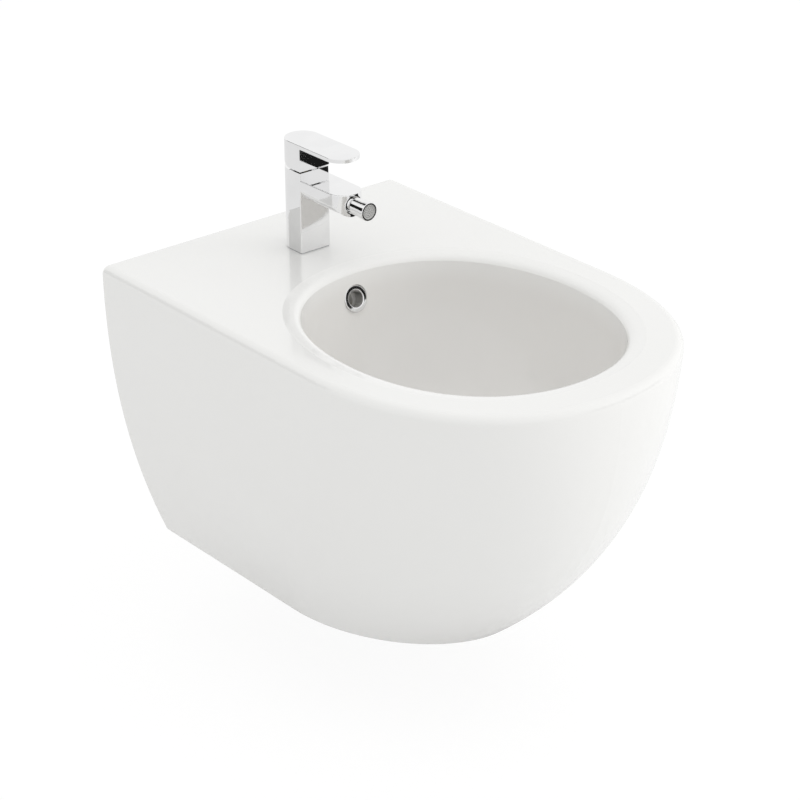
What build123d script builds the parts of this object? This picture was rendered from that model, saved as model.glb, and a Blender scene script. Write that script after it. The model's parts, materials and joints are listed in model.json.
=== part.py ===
"""Wall hung bidet with a single lever mixer, a plug waste and a bottle trap.

Millimetres. X points right seen from the front, Y points into the wall, Z points up.
The origin is on the wall face, midway between the two wall bolts.
"""
from build123d import *
import os
from math import cos, pi, radians, sin, sqrt, tan

os.makedirs("parts", exist_ok=True)

# Ceramic shell, seen in plan
rim_width = 360.0
projection = 520.0
body_height = 305.0
base_width = 240.0
base_projection = 367.0
rim_straight = 316.0
base_straight = 210.0
rim_nose_power = 2.2
base_nose_power = 1.9
side_belly_power = 2.2
front_belly_power = 2.4
shell_levels = (0.0, 0.12, 0.3, 0.5, 0.75, 1.0)
rim_radius = 8.0
base_edge_radius = 5.0
back_corner_radius = 4.0

# China thicknesses
shell_wall = 13.0
deck_thickness = 14.0
back_wall = 18.0
bowl_wall = 11.0

# Wall fixing
bolt_drop = 80.0
bolt_spacing = 180.0
bolt_diameter = 12.0
bush_bore = 13.0
bush_outer = 21.0
bush_hole_clearance = 0.5
bush_flange = 34.0
bush_flange_thickness = 3.0
flange_edge_radius = 1.2
flange_seal_inset = 1.0
wall_washer_outer = 30.0
wall_washer_thickness = 2.5
wall_nut_flats = 19.0
wall_nut_height = 10.0
wall_nut_chamfer_radius = 10.6
wall_nut_chamfer_angle = 4.0

# Opening in the back wall for pipes
window_width = 150.0
window_top_below_bolts = 62.0
window_corner_radius = 25.0

# Bowl
bowl_width = 268.0
bowl_back = 158.0
bowl_front = 470.6
bowl_plan_power = 2.15
bowl_depth = 140.0
bowl_profile_power = 1.8
bowl_profile_steps = 6
mouth_roll_width = 16.0
mouth_roll_depth = 6.0
mouth_roll_steps = 3

# Drain under the bowl
drain_from_wall = 290.0
drain_recess_radius = 34.0
bowl_floor_margin = 4.0
drain_recess_depth = 5.0
drain_bore = 46.0
drain_boss_radius = 36.0
drain_boss_depth = 35.0

# Overflow
overflow_below_rim = 31.0
overflow_tilt = 20.0
overflow_ring_outer = 26.2
overflow_ring_inner = 16.6
overflow_ring_stand = 1.2
overflow_ring_flange = 2.4
overflow_sleeve_outer = 21.0
overflow_sleeve_length = 9.0
overflow_seat_clearance = 0.3
duct_outer_radius = 12.0
duct_inner_radius = 7.0
duct_bend_radius = 15.0
duct_back_run = 26.0
duct_side_rise = 45.0
duct_side_gap = 8.0
duct_low_run = 50.0
duct_low_drop = 4.0
duct_end_drop = 21.0
duct_end_overlap = 2.0
overflow_edge_radius = 1.0

# Mixer tower and spout, heights above the deck
tap_from_wall = 83.5
tap_hole = 28.0
tower_width = 35.0
tower_top = 82.0
tower_edge_radius = 1.0
gasket_thickness = 1.0
gasket_inset = 0.8
spout_reach = 76.0
spout_top = 75.0
spout_axis = 64.0
spout_belly = 11.5
spout_side = 7.0
spout_tip_half = 16.5
spout_tip_radius = 14.0
spout_edge_radius = 0.8

# Lever handle
lever_gap = 1.5
lever_top = 110.5
plate_thickness = 4.0
lever_tip_reach = 75.5
lever_sweep_radius = 16.0
lever_edge_radius = 0.8
lever_lift = 20.0
lever_relief_extra = 1.5
lever_hollow_radius = 14.6
lever_hollow_height = 8.0
lever_boss_radius = 7.0
lever_boss_rise = 3.5

# Cartridge
cartridge_diameter = 25.0
cartridge_wall = 1.7
cartridge_floor_thickness = 2.5
chamber_floor = 44.3
base_seal_thickness = 1.5
disc_thickness = 3.4
disc_radius = 8.6
mixing_port_radius = 3.9
disc_port_length = 5.0
disc_port_width = 3.0
driver_thickness = 5.2
slip_gap = 0.1
running_gap = 0.08
pivot_height = 68.0
spindle_arm = 10.0
spindle_size = 6.4
spindle_tip_radius = 2.4
spindle_neck_half = 1.3
spindle_shoulder_drop = 6.0
spindle_shoulder_taper = 0.8
spindle_top_height = 98.0
carrier_top_height = 74.6
pin_radius = 1.5
pin_end_gap = 1.0
carrier_slot_margin = 2.5
cartridge_nut_height = 5.6
cartridge_nut_radius = 14.4
cartridge_nut_bore = 9.0
cartridge_nut_notch = 3.0
water_port_radius = 2.6
water_port_offset = 6.0

# Lever screw and its cap
screw_radius = 2.5
screw_length = 8.0
screw_height = 97.5
screw_key_flats = 2.5
cap_radius = 3.6
cap_thickness = 1.8
cap_recess = 1.5
cap_edge_radius = 0.5
screw_key_depth = 2.7

# Nozzle on its ball joint
nozzle_reach = 99.0
ball_setback = 8.0
ball_radius = 8.6
socket_radius = 9.6
socket_depth = 20.0
neck_radius = 5.2
neck_gap = 3.5
nozzle_radius = 8.4
nozzle_bore = 3.4
end_ring_radius = 9.0
end_ring_length = 5.5
end_ring_lip = 1.2
insert_recess = 1.0
insert_thickness = 4.0
jet_hole_radius = 0.55
retainer_lip = 7.2
retainer_length = 4.6
retainer_slope = 1.2
seat_front = 1.0
seat_throat = 6.0
seat_rim = 2.0
nozzle_back_chamfer = 0.8
ring_back_chamfer = 0.3
ring_front_chamfer = 0.5
jet_pitch = 1.8
jet_rings = 3
mixed_water_radius = 3.0
mixed_water_height = 58.5

# Mixer fixing under the deck
hose_port_radius = 3.5
hose_port_depth = 12.0
hose_port_x = 6.5
hose_port_y = 4.0
stud_radius = 3.0
stud_y = -8.0
stud_grip = 12.0
stud_length = 62.0
clamp_radius = 23.0
clamp_slot_half = 11.0
clamp_slot_start = -3.0
clamp_corner_radius = 2.0
stud_hole_clearance = 0.3
stud_end_chamfer = 0.6
clamp_gasket_thickness = 3.0
clamp_plate_thickness = 2.0
stud_nut_flats = 10.0
stud_nut_height = 5.0

# Waste
flange_radius = 32.0
flange_thickness = 3.0
flange_seal_thickness = 1.5
waste_tube_radius = 20.9
waste_tube_bore = 18.5
waste_tube_length = 66.0
slot_width = 14.0
slot_height = 12.0
slot_corner_radius = 3.0
slot_below_flange = 14.0
spider_thickness = 4.0
spider_arm = 5.0
spider_root = 0.5
spider_hub_radius = 7.0
spider_below_flange = 34.0
plug_radius = 30.5
plug_thickness = 4.0
plug_edge_radius = 3.0
plug_seal_thickness = 1.5
plug_seal_radius = 26.0
plug_stem_radius = 4.0
plug_stem_length = 52.0
stem_end_chamfer = 0.8
lower_seal_thickness = 6.0
lower_seal_radius = 31.0
lower_seal_chamfer = 2.5
lock_nut_radius = 29.0
lock_nut_height = 11.0
lock_nut_ribs = 8
lock_rib_depth = 5.0
lock_rib_width = 6.0

# Bottle trap
trap_nut_radius = 26.0
trap_nut_height = 22.0
trap_seal_thickness = 2.0
trap_collar_thickness = 4.0
trap_neck_radius = 17.0
trap_head_radius = 29.0
trap_shoulder_radius = 4.0
trap_nut_gap = 3.0
trap_fit_gap = 0.3
trap_wall = 2.5
trap_head_height = 50.0
trap_cup_height = 31.0
trap_cup_lip = 8.0
trap_cup_edge_radius = 6.0
cup_seal_thickness = 1.5
dip_tube_radius = 14.0
dip_tube_wall = 1.6
dip_tube_length = 78.0
outlet_radius = 16.0
outlet_wall = 1.8
outlet_tail_step = 0.5
outlet_below_head = 5.0
outlet_branch = 50.0
outlet_nut_radius = 22.5
outlet_nut_cover = 14.0
outlet_nut_grip = 6.0
outlet_pipe_overlap = 12.0
nut_ribs = 12
rib_radius = 1.6

# Places worked out from the sizes above
rim_z = bolt_drop
base_z = rim_z - body_height
deck_underside = rim_z - deck_thickness
bowl_floor = rim_z - bowl_depth
mouth_bottom = rim_z - mouth_roll_depth
bowl_half_length = (bowl_front - bowl_back) / 2
bowl_centre_y = -(bowl_front + bowl_back) / 2
drain_y = -drain_from_wall
tap_y = -tap_from_wall
tower_half = tower_width / 2
floor_radius = drain_recess_radius + bowl_floor_margin


def fullness(power):
    """Share of a quarter's side at which its Bezier handles stand, so that the middle of the
    curve lies on the superellipse of that power."""
    return (2 ** (-1 / power) - 1 / 2) / (3 / 8)


def shell_section(level, inset=0.0, back_inset=0.0):
    """Right half of the shell's plan, at a level from 0 at the base to 1 at the rim."""
    rise = 1 - level
    half = rim_width / 2 - (rim_width - base_width) / 2 * rise**side_belly_power - inset
    reach = projection - (projection - base_projection) * rise**front_belly_power - inset
    straight = base_straight + (rim_straight - base_straight) * level
    handle = fullness(base_nose_power + (rim_nose_power - base_nose_power) * level)
    with BuildSketch(Plane.XY.offset(base_z + body_height * level)) as section:
        with BuildLine():
            Polyline((0, -reach), (0, -back_inset), (half, -back_inset), (half, -straight))
            Bezier(
                (half, -straight),
                (half, -straight - handle * (reach - straight)),
                (handle * half, -reach),
                (0, -reach),
            )
        make_face()
    return section.sketch


def oval_section(z, centre_y, half_width, half_length, power):
    """Closed bowl outline in four curves, as full as a superellipse of that power."""
    handle = fullness(power)
    with BuildSketch(Plane.XY.offset(z)) as section:
        with BuildLine():
            for side, end in ((1, 1), (-1, 1), (-1, -1), (1, -1)):
                Bezier(
                    (side * half_width, centre_y),
                    (side * half_width, centre_y + end * handle * half_length),
                    (side * handle * half_width, centre_y + end * half_length),
                    (0, centre_y + end * half_length),
                )
        make_face()
    return section.sketch


def bowl_section(turn, offset):
    """Bowl outline at a turn of the profile, from 0 at the mouth to a quarter at the floor."""
    spread = cos(turn)
    depth_share = (1 - spread**2) ** (1 / bowl_profile_power)
    z = mouth_bottom - depth_share * (mouth_bottom - bowl_floor + offset)
    centre = drain_y + (bowl_centre_y - drain_y) * spread
    half_width = floor_radius + (bowl_width / 2 - floor_radius) * spread + offset
    half_length = floor_radius + (bowl_half_length - floor_radius) * spread + offset
    power = 2 + (bowl_plan_power - 2) * spread
    return oval_section(z, centre, half_width, half_length, power)


def mouth_section(turn):
    """Outline on the rolled edge of the bowl, from 0 at the deck to a quarter at the wall."""
    out = mouth_roll_width * (1 - sin(turn))
    z = rim_z - mouth_roll_depth * (1 - cos(turn))
    return oval_section(
        z, bowl_centre_y, bowl_width / 2 + out, bowl_half_length + out, bowl_plan_power
    )


def bowl_back_wall(z):
    """Y of the inner wall at the back of the bowl, at a height below the mouth's roll."""
    depth_share = (mouth_bottom - z) / (mouth_bottom - bowl_floor)
    spread = sqrt(1 - depth_share**bowl_profile_power)
    centre = drain_y + (bowl_centre_y - drain_y) * spread
    return centre + floor_radius + (bowl_half_length - floor_radius) * spread


profile_turns = [pi / 2 * step / bowl_profile_steps for step in range(bowl_profile_steps + 1)]
roll_turns = [pi / 2 * step / mouth_roll_steps for step in range(mouth_roll_steps + 1)]

# Overflow: its axis points out of the bowl wall, forwards and up
overflow_z = rim_z - overflow_below_rim
overflow_y = bowl_back_wall(overflow_z)
overflow_plane = Plane(
    origin=(0, overflow_y, overflow_z),
    x_dir=(1, 0, 0),
    z_dir=(0, -cos(radians(overflow_tilt)), sin(radians(overflow_tilt))),
)
duct_start = (0, overflow_y, overflow_z)
duct_back = (
    0,
    overflow_y + duct_back_run * cos(radians(overflow_tilt)),
    overflow_z - duct_back_run * sin(radians(overflow_tilt)),
)
duct_side_z = bowl_floor + duct_side_rise
duct_side = (0, bowl_back_wall(duct_side_z) + bowl_wall + duct_side_gap, duct_side_z)
duct_low = (0, drain_y + drain_boss_radius + duct_low_run, bowl_floor - duct_low_drop)
duct_end = (0, drain_y + drain_bore / 2 - duct_end_overlap, bowl_floor - duct_end_drop)


def duct_form(radius):
    """Solid round bar along the overflow duct."""
    with BuildPart() as bar:
        with BuildLine() as route:
            FilletPolyline(
                duct_start, duct_back, duct_side, duct_low, duct_end, radius=duct_bend_radius
            )
        with BuildSketch(Plane(origin=route.line @ 0, z_dir=route.line % 0)):
            Circle(radius)
        sweep()
    return bar.part


duct_outside = duct_form(duct_outer_radius)
duct_inside = duct_form(duct_inner_radius)

bolt_points = [(-bolt_spacing / 2, 0), (bolt_spacing / 2, 0)]
# Looking from the wall into the body: local Z points towards the user
wall_plane = Plane(origin=(0, 0, 0), x_dir=(1, 0, 0), z_dir=(0, -1, 0))
bush_hole_radius = bush_outer / 2 + bush_hole_clearance / 2

# The hollow behind and below the bowl, open at the base
cavity_top_level = (deck_underside - base_z) / body_height
cavity_levels = [level * cavity_top_level for level in shell_levels]
with BuildPart() as cavity_form:
    loft(sections=[shell_section(level, shell_wall, back_wall) for level in cavity_levels])
    mirror(about=Plane.YZ)

with BuildPart() as ceramic_body:
    loft(sections=[shell_section(level) for level in shell_levels])
    mirror(about=Plane.YZ)
    rim_edges = ceramic_body.edges().group_by(Axis.Z)[-1]
    fillet(rim_edges.filter_by(lambda e: e.center().Y < -1), radius=rim_radius)
    base_edges = ceramic_body.edges().group_by(Axis.Z)[0]
    fillet(base_edges.filter_by(lambda e: e.center().Y < -1), radius=base_edge_radius)
    back_corners = ceramic_body.edges().filter_by(
        lambda e: abs(e.center().Y) < 0.01 and e.bounding_box().size.Z > body_height / 2
    )
    fillet(back_corners, radius=back_corner_radius)
    add(cavity_form.part, mode=Mode.SUBTRACT)
    # Opening that the bowl hangs in
    add(mouth_section(0))
    extrude(amount=-deck_thickness, mode=Mode.SUBTRACT)
    # Tap hole
    with BuildSketch(Plane((0, tap_y, rim_z))):
        Circle(tap_hole / 2)
    extrude(amount=-deck_thickness, mode=Mode.SUBTRACT)
    # Bolt holes and the pipe window in the back wall
    with BuildSketch(wall_plane):
        with Locations(*bolt_points):
            Circle(bush_hole_radius)
    extrude(amount=back_wall, mode=Mode.SUBTRACT)
    window_height = -window_top_below_bolts - base_z + window_corner_radius
    with BuildSketch(wall_plane):
        with Locations((0, -window_top_below_bolts)):
            RectangleRounded(
                window_width,
                window_height,
                window_corner_radius,
                align=(Align.CENTER, Align.MAX),
            )
    extrude(amount=back_wall, mode=Mode.SUBTRACT)
ceramic_body.part.label = "ceramic_body"
export_step(ceramic_body.part, "parts/ceramic_body.step")

# The bowl of the same casting, with its rolled edge, outlet boss and overflow duct
with BuildPart() as ceramic_bowl:
    add(mouth_section(0))
    extrude(amount=-deck_thickness)
    loft(sections=[bowl_section(turn, bowl_wall) for turn in profile_turns])
    with Locations((0, drain_y, bowl_floor - drain_boss_depth)):
        Cylinder(
            drain_boss_radius, drain_boss_depth, align=(Align.CENTER, Align.CENTER, Align.MIN)
        )
    add(duct_outside)
    # Inside of the bowl
    loft(sections=[bowl_section(turn, 0) for turn in profile_turns], mode=Mode.SUBTRACT)
    loft(sections=[mouth_section(turn) for turn in roll_turns], mode=Mode.SUBTRACT)
    with Locations((0, drain_y, bowl_floor)):
        Cylinder(
            drain_recess_radius,
            drain_recess_depth,
            align=(Align.CENTER, Align.CENTER, Align.MAX),
            mode=Mode.SUBTRACT,
        )
        Cylinder(
            drain_bore / 2,
            drain_boss_depth + drain_recess_depth,
            align=(Align.CENTER, Align.CENTER, Align.MAX),
            mode=Mode.SUBTRACT,
        )
    add(duct_inside, mode=Mode.SUBTRACT)
    # Seat and hole for the overflow ring
    with BuildSketch(overflow_plane.offset(overflow_ring_stand - overflow_ring_flange)):
        Circle(overflow_ring_outer / 2 + overflow_seat_clearance)
    extrude(amount=bowl_wall, mode=Mode.SUBTRACT)
    with BuildSketch(overflow_plane):
        Circle(overflow_sleeve_outer / 2 + overflow_seat_clearance / 2)
    extrude(amount=-overflow_sleeve_length - bowl_wall / 2, mode=Mode.SUBTRACT)
ceramic_bowl.part.label = "ceramic_bowl"
export_step(ceramic_bowl.part, "parts/ceramic_bowl.step")

with BuildPart() as overflow_ring:
    with BuildSketch(overflow_plane.offset(overflow_ring_stand)):
        Circle(overflow_ring_outer / 2)
        Circle(overflow_ring_inner / 2, mode=Mode.SUBTRACT)
    extrude(amount=-overflow_ring_flange)
    with BuildSketch(overflow_plane.offset(overflow_ring_stand - overflow_ring_flange)):
        Circle(overflow_sleeve_outer / 2)
        Circle(overflow_ring_inner / 2, mode=Mode.SUBTRACT)
    extrude(amount=-overflow_sleeve_length)
    front_edges = overflow_ring.edges().sort_by(Axis(overflow_plane.origin, overflow_plane.z_dir))
    fillet(front_edges[-2:], radius=overflow_edge_radius)
overflow_ring.part.label = "overflow_ring"
export_step(overflow_ring.part, "parts/overflow_ring.step")

# Wall fixing pieces, stacked from the back wall's inner face
bush_face = back_wall + bush_flange_thickness
washer_face = bush_face + wall_washer_thickness

with BuildPart() as wall_bushes:
    with BuildSketch(wall_plane):
        with Locations(*bolt_points):
            Circle(bush_outer / 2)
    extrude(amount=back_wall)
    with BuildSketch(wall_plane.offset(back_wall)):
        with Locations(*bolt_points):
            Circle(bush_flange / 2)
    extrude(amount=bush_flange_thickness)
    with BuildSketch(wall_plane):
        with Locations(*bolt_points):
            Circle(bush_bore / 2)
    extrude(amount=bush_face, mode=Mode.SUBTRACT)
wall_bushes.part.label = "wall_bushes"
export_step(wall_bushes.part, "parts/wall_bushes.step")

with BuildPart() as wall_washers:
    with BuildSketch(wall_plane.offset(bush_face)):
        with Locations(*bolt_points):
            Circle(wall_washer_outer / 2)
            Circle(bush_bore / 2, mode=Mode.SUBTRACT)
    extrude(amount=wall_washer_thickness)
wall_washers.part.label = "wall_washers"
export_step(wall_washers.part, "parts/wall_washers.step")

with BuildPart() as wall_nuts:
    with BuildSketch(wall_plane.offset(washer_face)):
        with Locations(*bolt_points):
            RegularPolygon(wall_nut_flats / 2, 6, major_radius=False)
            Circle(bolt_diameter / 2, mode=Mode.SUBTRACT)
    extrude(amount=wall_nut_height)
    with BuildSketch(wall_plane.offset(washer_face)):
        with Locations(*bolt_points):
            Circle(wall_nut_chamfer_radius)
    extrude(amount=wall_nut_height, taper=wall_nut_chamfer_angle, mode=Mode.INTERSECT)
wall_nuts.part.label = "wall_nuts"
export_step(wall_nuts.part, "parts/wall_nuts.step")


def tap_plane(height):
    """Level plane on the tower's axis, at a height above the deck."""
    return Plane((0, tap_y, rim_z + height))


def tower_outline(height, half):
    """Tower plan: flat front and sides, half round back."""
    with BuildSketch(tap_plane(height)) as outline:
        with BuildLine():
            Polyline((half, 0), (half, -half), (-half, -half), (-half, 0))
            ThreePointArc((-half, 0), (0, half), (half, 0))
        make_face()
    return outline.sketch


# Spout: flat top, upright sides and a rounded belly, cut to a rounded tip in plan
with BuildPart() as spout_form:
    with BuildSketch(Plane((0, tap_y, rim_z), x_dir=(1, 0, 0), z_dir=(0, -1, 0))):
        with BuildLine():
            side_bottom = spout_top - spout_side
            Polyline(
                (-tower_half, side_bottom),
                (-tower_half, spout_top),
                (tower_half, spout_top),
                (tower_half, side_bottom),
            )
            EllipticalCenterArc(
                (0, side_bottom),
                tower_half,
                side_bottom - spout_axis + spout_belly,
                start_angle=180,
                arc_size=180,
            )
        make_face()
    extrude(amount=spout_reach)
    with BuildSketch(tap_plane(spout_axis - spout_belly)) as spout_plan:
        with BuildLine():
            Polyline(
                (-tower_half, 0),
                (tower_half, 0),
                (spout_tip_half, -spout_reach),
                (-spout_tip_half, -spout_reach),
                close=True,
            )
        make_face()
        fillet(spout_plan.vertices().group_by(Axis.Y)[0], radius=spout_tip_radius)
    extrude(amount=spout_top, mode=Mode.INTERSECT)
    fillet(spout_form.edges().group_by(Axis.Z)[-1].filter_by(lambda e: e.center().Y < tap_y - 1),
           radius=spout_edge_radius)

chamber_radius = cartridge_diameter / 2
nut_seat_height = carrier_top_height + slip_gap
nozzle_plane = Plane(
    origin=(0, tap_y - spout_reach, rim_z + spout_axis), x_dir=(1, 0, 0), z_dir=(0, -1, 0)
)
port_points = [(-water_port_offset, water_port_offset / 2), (water_port_offset, water_port_offset / 2)]
hose_points = [(-hose_port_x, hose_port_y), (hose_port_x, hose_port_y)]

with BuildPart() as mixer_body:
    add(tower_outline(gasket_thickness, tower_half))
    extrude(amount=tower_top - gasket_thickness)
    front_uprights = mixer_body.edges().filter_by(Axis.Z).group_by(Axis.Y)[0]
    fillet(front_uprights, radius=tower_edge_radius)
    add(spout_form.part)
    # Cartridge chamber and the wider bore for the retaining nut
    with BuildSketch(tap_plane(chamber_floor)):
        Circle(chamber_radius)
    extrude(amount=tower_top, mode=Mode.SUBTRACT)
    with BuildSketch(tap_plane(nut_seat_height)):
        Circle(cartridge_nut_radius)
    extrude(amount=tower_top, mode=Mode.SUBTRACT)
    # Hose ports, stud hole and the water ways up to the cartridge
    with BuildSketch(tap_plane(gasket_thickness)):
        with Locations(*hose_points):
            Circle(hose_port_radius)
    extrude(amount=hose_port_depth, mode=Mode.SUBTRACT)
    with BuildSketch(tap_plane(gasket_thickness)):
        with Locations((0, stud_y)):
            Circle(stud_radius)
    extrude(amount=stud_grip, mode=Mode.SUBTRACT)
    with BuildSketch(tap_plane(gasket_thickness + hose_port_depth)):
        with Locations(*port_points):
            Circle(water_port_radius)
    extrude(amount=chamber_floor - hose_port_depth, mode=Mode.SUBTRACT)
    # Mixed water way and the socket of the ball joint
    with BuildSketch(Plane((0, tap_y, rim_z), x_dir=(1, 0, 0), z_dir=(0, -1, 0))):
        with Locations((0, mixed_water_height)):
            Circle(mixed_water_radius)
    extrude(amount=spout_reach - socket_depth + 1, mode=Mode.SUBTRACT)
    with BuildSketch(nozzle_plane):
        Circle(socket_radius)
    extrude(amount=-socket_depth, mode=Mode.SUBTRACT)
mixer_body.part.label = "mixer_body"
export_step(mixer_body.part, "parts/mixer_body.step")

with BuildPart() as base_gasket:
    add(tower_outline(0, tower_half - gasket_inset))
    extrude(amount=gasket_thickness)
    with BuildSketch(tap_plane(0)):
        Circle(tap_hole / 2)
    extrude(amount=gasket_thickness, mode=Mode.SUBTRACT)
base_gasket.part.label = "base_gasket"
export_step(base_gasket.part, "parts/base_gasket.step")

with BuildPart() as fixing_stud:
    with BuildSketch(tap_plane(gasket_thickness + stud_grip)):
        with Locations((0, stud_y)):
            Circle(stud_radius)
    extrude(amount=-stud_length)
    chamfer(fixing_stud.edges(), length=stud_end_chamfer)
fixing_stud.part.label = "fixing_stud"
export_step(fixing_stud.part, "parts/fixing_stud.step")


def clamp_outline(height):
    """Horseshoe under the deck, open at the back where the hoses pass."""
    with BuildSketch(tap_plane(height)) as outline:
        Circle(clamp_radius)
        with Locations((0, clamp_slot_start)):
            Rectangle(
                2 * clamp_slot_half,
                2 * clamp_radius,
                align=(Align.CENTER, Align.MIN),
                mode=Mode.SUBTRACT,
            )
        fillet(outline.vertices(), radius=clamp_corner_radius)
        with Locations((0, stud_y)):
            Circle(stud_radius + stud_hole_clearance, mode=Mode.SUBTRACT)
    return outline.sketch


clamp_plate_top = -deck_thickness - clamp_gasket_thickness
stud_nut_top = clamp_plate_top - clamp_plate_thickness

with BuildPart() as clamp_gasket:
    add(clamp_outline(-deck_thickness))
    extrude(amount=-clamp_gasket_thickness)
clamp_gasket.part.label = "clamp_gasket"
export_step(clamp_gasket.part, "parts/clamp_gasket.step")

with BuildPart() as clamp_plate:
    add(clamp_outline(clamp_plate_top))
    extrude(amount=-clamp_plate_thickness)
clamp_plate.part.label = "clamp_plate"
export_step(clamp_plate.part, "parts/clamp_plate.step")

with BuildPart() as stud_nut:
    with BuildSketch(tap_plane(stud_nut_top)):
        with Locations((0, stud_y)):
            RegularPolygon(stud_nut_flats / 2, 6, major_radius=False)
            Circle(stud_radius, mode=Mode.SUBTRACT)
    extrude(amount=-stud_nut_height)
stud_nut.part.label = "stud_nut"
export_step(stud_nut.part, "parts/stud_nut.step")

# Cartridge, from the chamber floor up. The disc's travel is centred on the tower's axis.
disc_rest_offset = spindle_arm * radians(lever_lift) / 2
housing_bottom = chamber_floor + base_seal_thickness
housing_bore = chamber_radius - cartridge_wall
fixed_disc_bottom = housing_bottom + cartridge_floor_thickness
moving_disc_bottom = fixed_disc_bottom + disc_thickness + slip_gap
driver_bottom = moving_disc_bottom + disc_thickness
carrier_bottom = driver_bottom + driver_thickness + slip_gap

with BuildPart() as cartridge_seal:
    with BuildSketch(tap_plane(chamber_floor)):
        Circle(housing_bore)
        with Locations(*port_points):
            Circle(water_port_radius, mode=Mode.SUBTRACT)
    extrude(amount=base_seal_thickness)
cartridge_seal.part.label = "cartridge_seal"
export_step(cartridge_seal.part, "parts/cartridge_seal.step")

with BuildPart() as cartridge_housing:
    with BuildSketch(tap_plane(housing_bottom)):
        Circle(chamber_radius)
    extrude(amount=nut_seat_height - housing_bottom)
    with BuildSketch(tap_plane(fixed_disc_bottom)):
        Circle(housing_bore)
    extrude(amount=nut_seat_height, mode=Mode.SUBTRACT)
    with BuildSketch(tap_plane(housing_bottom)):
        with Locations(*port_points):
            Circle(water_port_radius)
    extrude(amount=cartridge_floor_thickness, mode=Mode.SUBTRACT)
    with BuildSketch(Plane((0, tap_y, rim_z), x_dir=(1, 0, 0), z_dir=(0, -1, 0))):
        with Locations((0, mixed_water_height)):
            Circle(mixed_water_radius)
    extrude(amount=chamber_radius, mode=Mode.SUBTRACT)
cartridge_housing.part.label = "cartridge_housing"
export_step(cartridge_housing.part, "parts/cartridge_housing.step")

with BuildPart() as fixed_disc:
    with BuildSketch(tap_plane(fixed_disc_bottom)):
        Circle(housing_bore)
        with Locations(*port_points):
            SlotOverall(disc_port_length, disc_port_width, rotation=90, mode=Mode.SUBTRACT)
    extrude(amount=disc_thickness)
fixed_disc.part.label = "fixed_disc"
export_step(fixed_disc.part, "parts/fixed_disc.step")

with BuildPart() as moving_disc:
    with BuildSketch(tap_plane(moving_disc_bottom)):
        with Locations((0, disc_rest_offset)):
            Circle(disc_radius)
            Circle(mixing_port_radius, mode=Mode.SUBTRACT)
    extrude(amount=disc_thickness)
moving_disc.part.label = "moving_disc"
export_step(moving_disc.part, "parts/moving_disc.step")

tip_pocket_half = spindle_tip_radius + slip_gap
with BuildPart() as disc_driver:
    with BuildSketch(tap_plane(driver_bottom)):
        with Locations((0, disc_rest_offset)):
            Circle(disc_radius)
    extrude(amount=driver_thickness)
    with BuildSketch(tap_plane(driver_bottom)):
        Rectangle(spindle_size + 2 * slip_gap, 2 * tip_pocket_half)
    extrude(amount=driver_thickness, mode=Mode.SUBTRACT)
disc_driver.part.label = "disc_driver"
export_step(disc_driver.part, "parts/disc_driver.step")

with BuildPart() as cartridge_carrier:
    with BuildSketch(tap_plane(carrier_bottom)):
        Circle(housing_bore - running_gap)
    extrude(amount=carrier_top_height - carrier_bottom)
    with BuildSketch(tap_plane(carrier_bottom)):
        Rectangle(spindle_size + 2 * slip_gap, 2 * (housing_bore - carrier_slot_margin))
    extrude(amount=carrier_top_height, mode=Mode.SUBTRACT)
    with BuildSketch(Plane.YZ):
        with Locations((tap_y, rim_z + pivot_height)):
            Circle(pin_radius)
    extrude(amount=housing_bore - pin_end_gap, both=True, mode=Mode.SUBTRACT)
cartridge_carrier.part.label = "cartridge_carrier"
export_step(cartridge_carrier.part, "parts/cartridge_carrier.step")

with BuildPart() as spindle_pin:
    with BuildSketch(Plane.YZ):
        with Locations((tap_y, rim_z + pivot_height)):
            Circle(pin_radius)
    extrude(amount=housing_bore - pin_end_gap, both=True)
spindle_pin.part.label = "spindle_pin"
export_step(spindle_pin.part, "parts/spindle_pin.step")

with BuildPart() as lever_spindle:
    with BuildSketch(Plane.YZ):
        with BuildLine():
            tip_z = rim_z + pivot_height - spindle_arm
            neck_start = tip_z + sqrt(spindle_tip_radius**2 - spindle_neck_half**2)
            shoulder_z = rim_z + pivot_height - spindle_shoulder_drop
            Polyline(
                (tap_y - spindle_neck_half, neck_start),
                (tap_y - spindle_neck_half, shoulder_z - spindle_shoulder_taper),
                (tap_y - spindle_size / 2, shoulder_z),
                (tap_y - spindle_size / 2, rim_z + spindle_top_height),
                (tap_y + spindle_size / 2, rim_z + spindle_top_height),
                (tap_y + spindle_size / 2, shoulder_z),
                (tap_y + spindle_neck_half, shoulder_z - spindle_shoulder_taper),
                (tap_y + spindle_neck_half, neck_start),
            )
            ThreePointArc(
                (tap_y + spindle_neck_half, neck_start),
                (tap_y, tip_z - spindle_tip_radius),
                (tap_y - spindle_neck_half, neck_start),
            )
        make_face()
        with Locations((tap_y, rim_z + pivot_height)):
            Circle(pin_radius + running_gap / 2, mode=Mode.SUBTRACT)
    extrude(amount=spindle_size / 2, both=True)
lever_spindle.part.label = "lever_spindle"
export_step(lever_spindle.part, "parts/lever_spindle.step")

with BuildPart() as cartridge_nut:
    with BuildSketch(tap_plane(nut_seat_height)):
        Circle(cartridge_nut_radius)
        Circle(cartridge_nut_bore, mode=Mode.SUBTRACT)
    extrude(amount=cartridge_nut_height)
    with BuildSketch(tap_plane(nut_seat_height + cartridge_nut_height)):
        with PolarLocations(cartridge_nut_radius, 6):
            Rectangle(2 * cartridge_nut_notch, cartridge_nut_notch)
    extrude(amount=-cartridge_nut_notch, mode=Mode.SUBTRACT)
cartridge_nut.part.label = "cartridge_nut"
export_step(cartridge_nut.part, "parts/cartridge_nut.step")

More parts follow.
